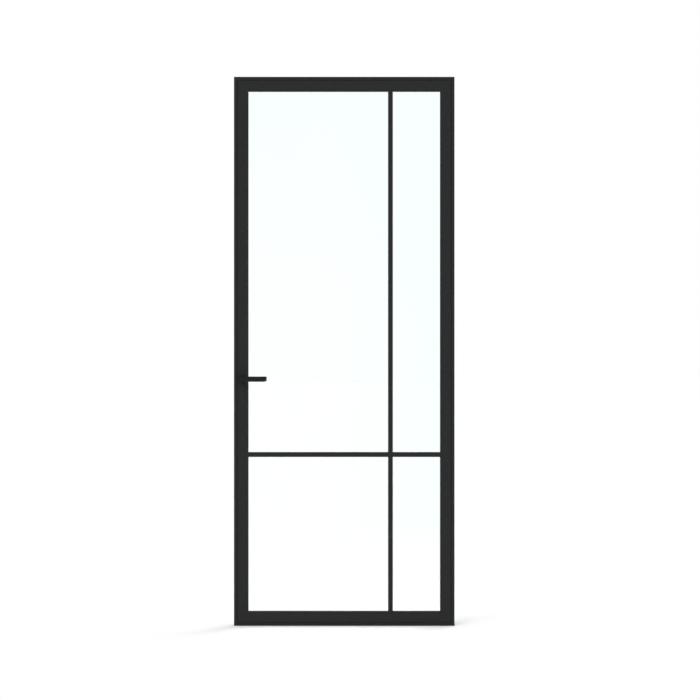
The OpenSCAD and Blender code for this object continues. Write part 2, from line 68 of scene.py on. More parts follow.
class Tree(Enum):
    """The two kinds of node group."""

    SHADER = "ShaderNodeTree"
    GEOMETRY = "GeometryNodeTree"


class Side(Enum):
    """The four sides of the ring that frame, leaf and beads go round."""

    LEFT = "left"
    RIGHT = "right"
    BOTTOM = "bottom"
    TOP = "top"


class Face(Enum):
    """The two faces of the door."""

    FRONT = "front"
    REAR = "rear"


class Grain(Enum):
    """The way brushed lines run: lines per metre along X, Y and Z."""

    ALONG_X = (30.0, 2600.0, 2600.0)
    ALONG_Y = (2600.0, 30.0, 2600.0)
    ALONG_Z = (2600.0, 2600.0, 30.0)


class Graph:
    """Adds and links the nodes of one tree."""

    step = 190  # from node to node in the editor

    def __init__(self, tree: NodeTree) -> None:
        """Clears the tree and starts from it."""
        self.tree = tree
        tree.nodes.clear()

    def add(self, kind: str, values: Values | None = None, **settings: object) -> Node:
        """Adds one node.

        Args:
            kind: the node's type name, such as ShaderNodeMath.
            values: what goes into its inputs.
            settings: properties of the node, which are set first.

        Returns:
            The new node.
        """
        node = self.tree.nodes.new(kind)
        node.location.x = self.step * len(self.tree.nodes)
        for key, value in settings.items():
            setattr(node, key, value)
        self.feed(node, values or {})
        return node

    def feed(self, node: Node, values: Values) -> None:
        """Fills inputs of a node.

        Args:
            node: the node.
            values: what goes into them.
        """
        for label, value in values.items():
            self.put(node.inputs[label], value)

    def put(self, target: NodeSocket, value: object) -> None:
        """Links a socket to target, or sets a plain value on it.

        Args:
            target: the input to fill.
            value: a socket, a number, a vector or a colour.
        """
        if isinstance(value, NodeSocket):
            self.tree.links.new(value, target)
        elif isinstance(value, (tuple, list)) and len(value) == 3 and target.type == "RGBA":
            target.default_value = (*value, 1.0)
        else:
            target.default_value = value

    def fill_row(self, targets: Iterable[NodeSocket], values: Iterable[object]) -> None:
        """Fills inputs in their order."""
        for target, value in zip(targets, values):
            self.put(target, value)

    def coordinates(self) -> NodeSocket:
        """Gives the place in the object's own space, in metres."""
        return self.add("ShaderNodeTexCoord").outputs["Object"]

    def math(self, operation: str, *values: object, clamp: bool = False) -> NodeSocket:
        """Adds a Math node.

        Args:
            operation: Blender's name of the operation.
            values: its inputs, each a number or a socket.
            clamp: whether the result is kept between 0 and 1.

        Returns:
            The node's result.
        """
        node = self.add("ShaderNodeMath", operation=operation, use_clamp=clamp)
        self.fill_row(node.inputs, values)
        return node.outputs[0]

    def vector(self, operation: str, *values: object) -> Node:
        """Adds a Vector Math node.

        Args:
            operation: Blender's name of the operation.
            values: its inputs, each a vector or a socket.

        Returns:
            The node, with its result in Vector or Value.
        """
        node = self.add("ShaderNodeVectorMath", operation=operation)
        self.fill_row(node.inputs, values)
        return node

    def split(self, value: NodeSocket) -> NodeOutputs:
        """Splits a vector into X, Y and Z."""
        return self.add("ShaderNodeSeparateXYZ", {"Vector": value}).outputs

    def noise(self, place: object, scale: object, detail: float = 3.0) -> NodeSocket:
        """Adds a noise texture.

        Args:
            place: the coordinates to read it at.
            scale: its repeats per metre.
            detail: how many finer layers it has.

        Returns:
            Its value, about 0.5 on average.
        """
        node = self.add("ShaderNodeTexNoise", {"Vector": place, "Scale": scale, "Detail": detail})
        return node.outputs["Fac"]

    def spread(self, value: object, low: object, high: object,
               start: float = 0.3, end: float = 0.7) -> NodeSocket:
        """Maps a value from start..end to low..high and clamps it.

        Args:
            value: the socket to map.
            low: the result at start.
            high: the result at end.
            start: the lower end of what is read.
            end: the upper end of what is read.

        Returns:
            The mapped value.
        """
        node = self.add("ShaderNodeMapRange", {"Value": value, "From Min": start, "From Max": end,
                                               "To Min": low, "To Max": high})
        return node.outputs["Result"]

    def tint(self, factor: object, first: object, second: object) -> NodeSocket:
        """Mixes two colours.

        Args:
            factor: the share of the second colour.
            first: the colour at factor 0.
            second: the colour at factor 1.

        Returns:
            The mixed colour.
        """
        node = self.add("ShaderNodeMix", {"Factor": factor}, data_type="RGBA")
        # A Mix node's colours come after its sockets for numbers and vectors.
        self.fill_row(node.inputs[6:8], (first, second))
        return node.outputs[2]

    def group(self, tree: NodeTree, values: Values) -> NodeOutputs:
        """Puts a shared group into the tree.

        Args:
            tree: the group.
            values: what goes into its inputs.

        Returns:
            The group's outputs.
        """
        return self.add("ShaderNodeGroup", values, node_tree=tree).outputs

    def bump(self, shader: Node, height: NodeSocket, strength: float, distance: float) -> None:
        """Feeds a height into a shader's normal.

        Args:
            shader: the Principled node.
            height: the height's socket.
            strength: how strongly it shows.
            distance: its depth in metres.
        """
        node = self.add("ShaderNodeBump", {"Strength": strength, "Distance": distance, "Height": height})
        self.feed(shader, {"Normal": node.outputs["Normal"]})

    def show(self, shader: Node, output: str = "ShaderNodeOutputMaterial") -> None:
        """Links a shader to a new output node of the given type."""
        self.put(self.add(output).inputs["Surface"], shader.outputs[0])


def empty_group(kind: Tree, name: str, inputs: Sockets, outputs: Sockets) -> tuple[Graph, NodeOutputs, Node]:
    """Makes an empty node group.

    Args:
        kind: the kind of group.
        name: the group's name.
        inputs: its inputs.
        outputs: its outputs.

    Returns:
        The graph, what its input node gives, and its output node.
    """
    tree = bpy.data.node_groups.new(name, kind.value)
    graph = Graph(tree)
    for way, sockets in (("INPUT", inputs), ("OUTPUT", outputs)):
        for label, socket in sockets:
            tree.interface.new_socket(label, in_out=way, socket_type="NodeSocket" + socket)
    return graph, graph.add("NodeGroupInput").outputs, graph.add("NodeGroupOutput")


def empty_material(name: str) -> tuple[Material, Graph]:
    """Makes a material with an empty tree.

    Args:
        name: its name.

    Returns:
        The material and the graph of its tree.
    """
    material = bpy.data.materials.new(name)
    material.use_nodes = True
    return material, Graph(material.node_tree)


def new_object(name: str, data: ID) -> Object:
    """Puts a mesh, a lamp or a camera into the scene.

    Args:
        name: the object's name.
        data: the mesh, lamp or camera.

    Returns:
        The object.
    """
    made = bpy.data.objects.new(name, data)
    bpy.context.scene.collection.objects.link(made)
    return made


def mesh_object(name: str, shape: BMesh, material: Material) -> Object:
    """Puts a drawn mesh into the scene.

    Args:
        name: the object's name.
        shape: its mesh, which is used up.
        material: its material.

    Returns:
        The object.
    """
    mesh = bpy.data.meshes.new(name)
    shape.to_mesh(mesh)
    shape.free()
    mesh.materials.append(material)
    return new_object(name, mesh)


class Effects:
    """The shader node groups that several finishes share, each built once."""

    @cached_property
    def coat_grain(self) -> NodeTree:
        """Fine grain, such as a sprayed coat's orange peel, with slow changes of tone and gloss.

        Returns:
            The group.
        """
        graph, given, made = empty_group(
            Tree.SHADER, "coat_grain",
            [("Base Color", "Color"), ("Tone Spread", "Float"), ("Grain per Metre", "Float"),
             ("Patches per Metre", "Float"), ("Low Roughness", "Float"), ("High Roughness", "Float")],
            [("Color", "Color"), ("Roughness", "Float"), ("Height", "Float")])
        place, patch_share = graph.coordinates(), 0.7
        grain = graph.noise(place, given["Grain per Metre"], detail=2.0)
        patch = graph.noise(place, given["Patches per Metre"], detail=4.0)
        both = graph.math("ADD", graph.math("MULTIPLY", patch, patch_share),
                          graph.math("MULTIPLY", grain, 1 - patch_share))
        swing = graph.math("MULTIPLY", graph.spread(both, -1.0, 1.0), given["Tone Spread"])
        scale = graph.vector("SCALE", given["Base Color"])
        graph.feed(scale, {"Scale": graph.math("ADD", swing, 1.0)})
        rough = graph.spread(both, given["Low Roughness"], given["High Roughness"])
        graph.feed(made, {"Color": scale.outputs["Vector"], "Roughness": rough, "Height": grain})
        return graph.tree

    @cached_property
    def dust_and_top_light(self) -> NodeTree:
        """Thin pale dust on the surfaces that face up, with painted top light: it lightens them as light from
        above would.

        Returns:
            The group.
        """
        graph, given, made = empty_group(
            Tree.SHADER, "dust_and_top_light",
            [("Color", "Color"), ("Dust and Light Color", "Color"), ("Amount", "Float")], [("Color", "Color")])
        facing = graph.split(graph.add("ShaderNodeNewGeometry").outputs["Normal"])
        # Painted top light and dust: the faces that point up are lightened, in cloudy patches.
        flat = graph.spread(facing["Z"], 0.0, 1.0, start=0.55, end=1.0)
        cloud = graph.spread(graph.noise(graph.coordinates(), scale=55.0, detail=5.0), 0.55, 1.0)
        share = graph.math("MULTIPLY", flat, cloud)
        mask = graph.math("MULTIPLY", share, given["Amount"], clamp=True)
        mixed = graph.tint(mask, given["Color"], given["Dust and Light Color"])
        graph.feed(made, {"Color": mixed})
        return graph.tree

    @cached_property
    def brushed_lines(self) -> NodeTree:
        """Fine parallel lines of brushed or turned metal.

        Returns:
            The group.
        """
        graph, given, made = empty_group(
            Tree.SHADER, "brushed_lines",
            [("Base Color", "Color"), ("Dark Color", "Color"), ("Lines per Metre", "Vector"),
             ("Low Roughness", "Float"), ("High Roughness", "Float")],
            [("Color", "Color"), ("Roughness", "Float"), ("Height", "Float")])
        place = graph.coordinates()
        drawn = graph.vector("MULTIPLY", place, given["Lines per Metre"])
        lines = graph.noise(drawn.outputs["Vector"], scale=1.0, detail=2.0)
        cloud = graph.noise(place, scale=40.0, detail=4.0)
        share = graph.spread(graph.math("MULTIPLY", lines, graph.spread(cloud, 0.85, 1.1)), 1.0, 0.0)
        mixed = graph.tint(share, given["Base Color"], given["Dark Color"])
        rough = graph.spread(lines, given["Low Roughness"], given["High Roughness"])
        graph.feed(made, {"Color": mixed, "Roughness": rough, "Height": lines})
        return graph.tree

    @cached_property
    def touch_marks(self) -> NodeTree:
        """Smears and hairline scratches where hands touch a piece.

        Returns:
            The group.
        """
        graph, given, made = empty_group(
            Tree.SHADER, "touch_marks",
            [("Roughness", "Float"), ("Smear", "Float"), ("Scratch", "Float")], [("Roughness", "Float")])
        place, scratches_per_metre = graph.coordinates(), (60.0, 900.0, 900.0)
        smear = graph.spread(graph.noise(place, scale=30.0, detail=5.0), -1.0, 1.0)
        drawn = graph.vector("MULTIPLY", place, scratches_per_metre)
        lines = graph.noise(drawn.outputs["Vector"], scale=1.0, detail=1.0)
        scratch = graph.spread(lines, 0.0, 1.0, start=0.66, end=0.74)
        mask = graph.math("MULTIPLY", scratch, given["Scratch"], clamp=True)
        rough = graph.math("ADD", given["Roughness"], graph.math("MULTIPLY", smear, given["Smear"]))
        graph.feed(made, {"Roughness": graph.math("ADD", rough, mask, clamp=True)})
        return graph.tree


EFFECTS = Effects()


@dataclass(frozen=True)
class Finish:
    """What every finish has: a name and the record's material slot."""

    name: str
    slot: str

    @cached_property
    def material(self) -> Material:
        """The material, built at its first use.

        Returns:
            The material, named after the finish.
        """
        material, graph = empty_material(self.name)
        shader = graph.add("ShaderNodeBsdfPrincipled")
        graph.show(shader)
        self.fill(graph, shader)
        return material

    def fill(self, graph: Graph, shader: Node) -> None:
        """Fills the shader's sockets; each finish has its own way."""
        raise NotImplementedError


@dataclass(frozen=True)
class GrainedFinish(Finish):
    """A finish with fine grain and slow patches, both given per metre."""

    tone: Colour = (0.0180, 0.0180, 0.0183)
    tone_spread: float = 0.10
    grain: float = 1500.0
    patches: float = 9.0
    roughness: Pair = (0.74, 0.86)

    def skin(self, graph: Graph) -> NodeOutputs:
        """Puts the grain into the material.

        Args:
            graph: the material's graph.

        Returns:
            The outputs of its group.
        """
        low, high = self.roughness
        return graph.group(EFFECTS.coat_grain, {
            "Base Color": self.tone, "Tone Spread": self.tone_spread, "Grain per Metre": self.grain,
            "Patches per Metre": self.patches, "Low Roughness": low, "High Roughness": high})


@dataclass(frozen=True)
class DullBlack(GrainedFinish):
    """Black paint, matt on the sections and satin on the handles, or black rubber."""

    specular: float = 0.18
    relief: float = 0.6
    depth: float = 0.00012
    # Pale tone and share of the dust and painted top light on the faces that point up.
    dust_and_light_tone: Colour = (0.30, 0.30, 0.29)
    dust_and_light: float = 0.10
    smear: float = 0.0
    scratch: float = 0.0

    def fill(self, graph: Graph, shader: Node) -> None:
        """Fills the shader's sockets for paint or rubber.

        Args:
            graph: the material's graph.
            shader: its Principled node.
        """
        skin = self.skin(graph)
        # Dust and painted top light: the faces that point up are lightened.
        dust_and_light = graph.group(EFFECTS.dust_and_top_light, {
            "Color": skin["Color"], "Dust and Light Color": self.dust_and_light_tone, "Amount": self.dust_and_light})
        rough = skin["Roughness"]
        if self.smear or self.scratch:
            rough = graph.group(EFFECTS.touch_marks, {
                "Roughness": rough, "Smear": self.smear, "Scratch": self.scratch})["Roughness"]
        graph.feed(shader, {"Base Color": dust_and_light["Color"], "Roughness": rough,
                            "Specular IOR Level": self.specular})
        graph.bump(shader, skin["Height"], self.relief, self.depth)


@dataclass(frozen=True)
class DrawnMetal(Finish):
    """Bare metal with the lines that its brushing or turning left."""

    tone: Colour = (0.52, 0.53, 0.54)
    dark: Colour = (0.36, 0.37, 0.38)
    grain: Grain = Grain.ALONG_Z
    roughness: Pair = (0.24, 0.40)
    relief: float = 0.25
    depth: float = 0.00005

    def fill(self, graph: Graph, shader: Node) -> None:
        """Fills the shader's sockets for bare metal.

        Args:
            graph: the material's graph.
            shader: its Principled node.
        """
        low, high = self.roughness
        lines = graph.group(EFFECTS.brushed_lines, {
            "Base Color": self.tone, "Dark Color": self.dark, "Lines per Metre": self.grain.value,
            "Low Roughness": low, "High Roughness": high})
        graph.feed(shader, {"Base Color": lines["Color"], "Roughness": lines["Roughness"], "Metallic": 1.0})
        graph.bump(shader, lines["Height"], self.relief, self.depth)


@dataclass(frozen=True)
class ClearPane(GrainedFinish):
    """Clear toughened glass, faintly cyan, with the slightest smear left from cleaning."""

    tone: Colour = (0.983, 0.999, 0.998)
    tone_spread: float = 0.004
    grain: float = 60.0
    patches: float = 2.0
    roughness: Pair = (0.0, 0.012)
    ior: float = 1.5

    def fill(self, graph: Graph, shader: Node) -> None:
        """Fills the shader's sockets for clear glass.

        Args:
            graph: the material's graph.
            shader: its Principled node.
        """
        pane = self.skin(graph)
        graph.feed(shader, {"Base Color": pane["Color"], "Roughness": pane["Roughness"],
                            "Transmission Weight": 1.0, "IOR": self.ior})


POWDER = DullBlack("powder_coat", "black_coat")
SATIN = DullBlack("satin_handle_coat", "handle_black", tone=(0.0085, 0.0085, 0.0088), tone_spread=0.12,
                  grain=2600.0, patches=30.0, roughness=(0.46, 0.56), specular=0.16, depth=0.00003,
                  dust_and_light=0.05, smear=0.05, scratch=0.05)
RUBBER = DullBlack("black_rubber", "rubber", tone=(0.011, 0.011, 0.011), tone_spread=0.25, grain=700.0,
                   patches=25.0, roughness=(0.72, 0.88), specular=0.2, relief=0.3, depth=0.0001,
                   dust_and_light_tone=(0.16, 0.16, 0.155), dust_and_light=0.12)
STEEL_UP = DrawnMetal("brushed_steel_upright", "steel")
STEEL_ACROSS = DrawnMetal("brushed_steel_across", "steel", grain=Grain.ALONG_X)
STEEL_THROUGH = DrawnMetal("drawn_steel_through", "steel", grain=Grain.ALONG_Y)
BRASS = DrawnMetal("turned_brass", "brass", tone=(0.60, 0.43, 0.17), dark=(0.40, 0.27, 0.09),
                   grain=Grain.ALONG_X, roughness=(0.22, 0.34))
PANE = ClearPane("clear_pane", "glass")


@dataclass
class Shop:
    """Puts materials, soft edges and smooth shading on solids and pieces."""

    shade_angle: float = math.radians(32)  # edges sharper than this aren't shaded smooth
    edge_angle: float = math.radians(40)  # edges sharper than this are softened
    flat_angle: float = math.radians(0.5)  # faces that meet at less than this are joined
    straight: float = 0.999  # edges with more of X or Z than this run along it
    shortest: float = 3 * MM  # shorter edges are the rims of holes
    weld_gap: float = 1e-6
    edge_steps: int = 3

    @staticmethod
    def sharper(graph: Graph, angle: float) -> NodeSocket:
        """Gives 1 on edges whose faces meet at more than an angle, and 0 on others."""
        met = graph.add("GeometryNodeInputMeshEdgeAngle").outputs["Unsigned Angle"]
        return graph.math("GREATER_THAN", met, angle)

    @cached_property
    def round_shading(self) -> NodeTree:
        """Geometry nodes that shade round faces smooth and keep sharp edges sharp.

        Returns:
            The group.
        """
        graph, given, made = empty_group(Tree.GEOMETRY, "round_shading", MESH, MESH)
        kind, sharp = "GeometryNodeSetShadeSmooth", self.sharper(graph, self.shade_angle)
        faces = graph.add(kind, {"Geometry": given["Geometry"], "Shade Smooth": True}, domain="FACE")
        edges = graph.add(kind, {"Geometry": faces.outputs["Geometry"], "Selection": sharp,
                                 "Shade Smooth": False}, domain="EDGE")
        graph.feed(made, {"Geometry": edges.outputs["Geometry"]})
        return graph.tree

    @cached_property
    def long_edges(self) -> NodeTree:
        """Geometry nodes that mark long sharp edges along X and Z: no mitre and no hole's rim.

        Returns:
            The group.
        """
        graph, given, made = empty_group(Tree.GEOMETRY, "long_edges", MESH, MESH)
        ends = graph.add("GeometryNodeInputMeshEdgeVertices").outputs
        way = graph.vector("SUBTRACT", ends["Position 1"], ends["Position 2"]).outputs["Vector"]
        unit = graph.split(graph.vector("NORMALIZE", way).outputs["Vector"])
        along = graph.math("MAXIMUM", graph.math("ABSOLUTE", unit["X"]), graph.math("ABSOLUTE", unit["Z"]))
        length = graph.vector("LENGTH", way).outputs["Value"]
        weight = self.sharper(graph, self.edge_angle)
        for value, limit in ((along, self.straight), (length, self.shortest)):
            weight = graph.math("MULTIPLY", weight, graph.math("GREATER_THAN", value, limit))
        store = graph.add("GeometryNodeStoreNamedAttribute",
                          {"Geometry": given["Geometry"], "Name": "bevel_weight_edge"},
                          data_type="FLOAT", domain="EDGE")
        graph.put(next(s for s in store.inputs if s.name == "Value" and s.enabled), weight)
        graph.feed(made, {"Geometry": store.outputs["Geometry"]})
        return graph.tree

    def soften(self, piece: Object, edge_mm: float = 0.0, mitred: bool = False) -> None:
        """Gives a piece soft edges and smooth round faces, by modifiers alone.

        Args:
            piece: the object.
            edge_mm: the width of the soft edge, or 0 for none.
            mitred: whether its edges are softened along its length only.
        """
        weld = piece.modifiers.new("join_faces", "WELD")
        weld.merge_threshold = self.weld_gap
        if mitred:
            plain = piece.modifiers.new("plain_faces", "DECIMATE")
            plain.decimate_type, plain.angle_limit = "DISSOLVE", self.flat_angle
            marks = piece.modifiers.new("long_edges", "NODES")
            marks.node_group = self.long_edges
        if edge_mm:
            bevel = piece.modifiers.new("soft_edge", "BEVEL")
            bevel.width, bevel.segments = edge_mm * MM, self.edge_steps
            bevel.limit_method = "WEIGHT" if mitred else "ANGLE"
            bevel.angle_limit = self.edge_angle
            bevel.use_clamp_overlap = not mitred
        shading = piece.modifiers.new("round_shading", "NODES")
        shading.node_group = self.round_shading
        flat = piece.modifiers.new("flat_faces", "WEIGHTED_NORMAL")
        flat.mode, flat.keep_sharp = "FACE_AREA", True

    def dress(self, nodes: Iterable[str], finish: Finish, edge_mm: float | None = 0.0,
              mitred: bool = False) -> None:
        """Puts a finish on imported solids.

        Args:
            nodes: the solids' names.
            finish: what they are finished with.
            edge_mm: the width of their soft edges, or None to leave the shading flat.
            mitred: whether their edges are softened along their length only.
        """
        for name in nodes:
            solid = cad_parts[name]
            solid.data.materials.clear()
            solid.data.materials.append(finish.material)
            if edge_mm is not None:
                self.soften(solid, edge_mm, mitred)
            LOG.info("dressed %s in %s", name, finish.name)

    def piece(self, name: str, shape: BMesh, body: str, finish: Finish,
              replaces: Sequence[str] = ()) -> Object:
        """Turns a mesh into a piece that rides on a body.

        Args:
            name: the piece's name.
            shape: its mesh, which is used up.
            body: the body that it moves with.
            finish: what it is finished with.
            replaces: the solids that it stands for.

        Returns:
            The new object.
        """
        bmesh.ops.recalc_face_normals(shape, faces=shape.faces)
        piece = mesh_object(name, shape, finish.material)
        self.soften(piece)
        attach(piece, body)
        if replaces:
            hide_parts(*replaces)
        LOG.info("built %s on %s in %s", name, body, finish.name)
        return piece


def turned_place(x: float, y: float, z: float, angle: float) -> Matrix:
    """Place in mm of a piece that is drawn along +Z and turned about Y: a quarter points it along +X."""
    return Matrix.Translation(Vector((x, y, z)) * MM) @ Matrix.Rotation(angle, 4, "Y")


def half_turn(steps: int) -> list[float]:
    """Gives the angles from 0 to pi, in so many steps."""
    return [math.pi * i / steps for i in range(steps + 1)]


def full_turn(points: int) -> list[float]:
    """Gives the angles of so many points round a circle."""
    return [math.tau * i / points for i in range(points)]


def polar(radius: float, angle: float, z: float) -> Vector:
    """Gives the point at a radius, an angle and a height."""
    return Vector((radius * math.cos(angle), radius * math.sin(angle), z))


def loft(rings: Sequence[Sequence[Vector]], closed: bool = False, shape: BMesh | None = None) -> BMesh:
    """Skins a row of rings that have the same number of points.

    Args:
        rings: the rings, in order.
        closed: whether the last ring joins the first; otherwise both ends are filled.
        shape: the mesh to add to, or None for a new one.

    Returns:
        The mesh.
    """
    if shape is None:
        shape = bmesh.new()
    rows = [[shape.verts.new(point) for point in ring] for ring in rings]
    pairs = list(zip(rows, rows[1:])) + ([(rows[-1], rows[0])] if closed else [])
    for one, two in pairs:
        for i in range(len(one)):
            j = (i + 1) % len(one)
            shape.faces.new((one[i], one[j], two[j], two[i]))
    if not closed:
        shape.faces.new(rows[0])
        shape.faces.new(rows[-1])
    return shape


@dataclass(frozen=True)
class SocketScrew:
    """A countersunk screw with a hexagon socket, drawn along +Z with its head at 0; sizes in mm."""

    shank_d: float
    head_d: float
    length: float
    across_flats: float
    socket_depth: float
    tip: float = 0.8
    chamfer: float = 0.15
    points: int = 24

    def ring(self, radius: float, z: float) -> list[Vector]:
        """Points on a circle at height z."""
        return [polar(radius, a, z) * MM for a in full_turn(self.points)]

    def socket_ring(self, z: float) -> list[Vector]:
        """Points on the hexagon at height z, as many as on a circle."""
        sector, inner = math.tau / 6, self.across_flats / 2
        return [polar(inner / math.cos(a % sector - sector / 2), a, z) * MM for a in full_turn(self.points)]

    def mesh(self, places: Iterable[Matrix]) -> BMesh:
        """Draws screws in one mesh.

        Args:
            places: where they sit, with +Z out of the head.

        Returns:
            The mesh.
        """
        shank, head = self.shank_d / 2, self.head_d / 2
        rings = [self.ring(shank - self.tip, -self.length), self.ring(shank, self.tip - self.length),
                 self.ring(shank, shank - head), self.ring(head, -self.chamfer),
                 self.ring(head - self.chamfer, 0.0), self.socket_ring(0.0),
                 self.socket_ring(-self.socket_depth)]
        shape = bmesh.new()
        for place in places:
            loft([[place @ point for point in ring] for ring in rings], shape=shape)
        return shape


@dataclass(frozen=True)
class WeldBead:
    """A run of weld with the ripples that its weaving left; sizes in mm."""

    radius: float = 1.6
    ripple: float = 0.16
    pitch: float = 1.7
    blunt: float = 0.35  # how far the ends are from running out to a point
    taper: float = 1.3  # the length of a rounded end, in radii
    ripple_steps: int = 5
    least_steps: int = 8
    points: int = 10

    def mesh(self, start: Point, end: Point) -> BMesh:
        """Draws a straight run.

        Args:
            start: where it starts.
            end: where it ends.

        Returns:
            The mesh.
        """
        first, along = Vector(start), Vector(end) - Vector(start)
        length = along.length
        turn = along.to_track_quat("Z", "Y")
        steps = max(self.least_steps, int(length / self.pitch * self.ripple_steps))
        rings = []
        for i in range(steps + 1):
            at = i / steps * length
            end_in = min(1.0, (min(at, length - at) + self.blunt) / (self.taper * self.radius))
            swell = self.radius * math.sqrt(end_in) + self.ripple * math.sin(at / self.pitch * math.tau)
            rings.append([(first + turn @ polar(swell, a, at)) * MM for a in full_turn(self.points)])
        return loft(rings)


@dataclass(frozen=True)
class CoilSpring:
    """A pressure spring with closed ends, drawn along +Z from 0; sizes in mm."""

    radius: float
    wire_d: float
    length: float
    turns: float
    end_pitch: float = 1.12  # of the first and last turn, in thicknesses of the wire
    steps: int = 24
    points: int = 10

    def height(self, turn: float) -> float:
        """Gives the height of the wire's middle; the first and last turn lie close.

        Args:
            turn: the turns up to there.

        Returns:
            The height.
        """
        shut = self.end_pitch * self.wire_d
        pitch = (self.length - self.wire_d - 2 * shut) / (self.turns - 2)
        open_turns = min(max(turn - 1, 0.0), self.turns - 2)
        return self.wire_d / 2 + shut * (turn - open_turns) + pitch * open_turns

    def mesh(self, place: Matrix) -> BMesh:
        """Draws the spring.

        Args:
            place: its lower end, with +Z along it.

        Returns:
            The mesh.
        """
        rings = []
        for i in range(int(self.turns * self.steps) + 1):
            turn = i / self.steps
            out = polar(1.0, turn * math.tau, 0.0)
            middle = self.radius * out + Vector((0.0, 0.0, self.height(turn)))
            round_wire = [math.cos(a) * out + Vector((0, 0, math.sin(a))) for a in full_turn(self.points)]
            rings.append([place @ ((middle + self.wire_d / 2 * off) * MM) for off in round_wire])
        return loft(rings)


@dataclass(frozen=True)
class SweptRing:
    """A section carried round all four sides with mitred corners; sizes in mm."""

    section: Section

    def mesh(self) -> BMesh:
        """Draws the ring.

        Returns:
            The mesh.
        """
        corners = []
        for right, up in ((-1, 0), (1, 0), (1, 1), (-1, 1)):
            corners.append([Vector((right * (HALF_W - u), y, HEIGHT - u if up else u)) * MM
                            for u, y in self.section])
        return loft(corners, closed=True)


def lip_profile(u0: float, u1: float, fixed_y: float, glass_y: float) -> Section:
    """Section of a glazing gasket whose rounded lip leans on the glass.

    Args:
        u0: its hidden edge.
        u1: its lip's edge.
        fixed_y: the face against the metal.
        glass_y: the face against the glass.

    Returns:
        The section's points.
    """
    radius, deep = 1.3, glass_y - fixed_y
    metal_from, metal_to, metal_cut = 2.4, 2.0, 0.12  # a slope's ends before u1 and its share of the depth
    glass_from, glass_to, glass_cut = 2.8, 2.2, 0.1
    lip = [(u1 - radius + radius * math.sin(a), fixed_y + deep * (0.5 - 0.5 * math.cos(a)))
           for a in half_turn(steps=8)]
    return [(u0, fixed_y), (u1 - metal_from, fixed_y), (u1 - metal_to, fixed_y + metal_cut * deep), *lip[1:],
            (u1 - glass_to, glass_y - glass_cut * deep), (u1 - glass_from, glass_y), (u0, glass_y)]


def bulb_profile(u0: float, u1: float, fixed_y: float, free_y: float) -> Section:
    """Section of a closing seal: a flat foot with a round bulb on it.

    Args:
        u0: one edge of the foot.
        u1: the other edge.
        fixed_y: the face against the frame's lip.
        free_y: the top of the bulb, where the leaf meets it.

    Returns:
        The section's points.
    """
    foot_share, shoulder = 0.3, 0.9
    foot = foot_share * (free_y - fixed_y)
    mid, half = (u0 + u1) / 2, (u1 - u0) / 2 - shoulder
    bulb = [(mid - half * math.cos(a), fixed_y + foot + (free_y - fixed_y - foot) * math.sin(a))
            for a in half_turn(steps=12)]
    return [(u0, fixed_y), (u0, fixed_y + foot), *bulb, (u1, fixed_y + foot), (u1, fixed_y)]


class Assembly:
    """A sub-assembly of the door."""

    def dress(self, shop: Shop) -> None:
        """Puts the finishes on its solids."""
        raise NotImplementedError

    def build(self, shop: Shop) -> None:
        """Makes the pieces that its solids lack; some sub-assemblies have none."""


@dataclass
class AngleFrame(Assembly):
    """The frame of steel angle against the wall, its seal and its strike; sizes in mm."""

    members: tuple[str, ...] = ("frame_lock_jamb", "frame_hinge_jamb", "frame_sill", "frame_head")
    member_edge: float = 0.6
    plate_edge: float = 0.2
    strike_x: float = -460.0
    strike_y: float = 4.0
    strike_z: Pair = (1032.0, 1086.0)
    screw: SocketScrew = SocketScrew(shank_d=4.0, head_d=7.2, length=5.0, across_flats=2.5, socket_depth=1.6)
    seal: SweptRing = SweptRing(bulb_profile(u0=5.5, u1=13.5, fixed_y=-15.0, free_y=-12.0))

    def dress(self, shop: Shop) -> None:
        """Puts the finishes on the frame's solids."""
        shop.dress(self.members, POWDER, self.member_edge, mitred=True)
        shop.dress(["strike_plate"], STEEL_UP, self.plate_edge)

    def build(self, shop: Shop) -> None:
        """Makes the closing seal and the strike's screws.

        Args:
            shop: the finishing shop.
        """
        shop.piece("closing_bulb_seal", self.seal.mesh(), "frame", RUBBER, ["frame_seal"])
        places = [turned_place(self.strike_x, self.strike_y, z, QUARTER) for z in self.strike_z]
        screws = self.screw.mesh(places)
        shop.piece("strike_socket_screws", screws, "frame", STEEL_THROUGH, ["strike_screws"])


@dataclass
class DoorLeaf(Assembly):
    """The welded leaf of hollow steel sections."""

    members: tuple[str, ...] = ("leaf_lock_stile", "leaf_hinge_stile", "leaf_bottom_rail", "leaf_top_rail")
    member_edge: float = 0.8

    def dress(self, shop: Shop) -> None:
        """Puts the finish on the leaf's solids."""
        shop.dress(self.members, POWDER, self.member_edge, mitred=True)


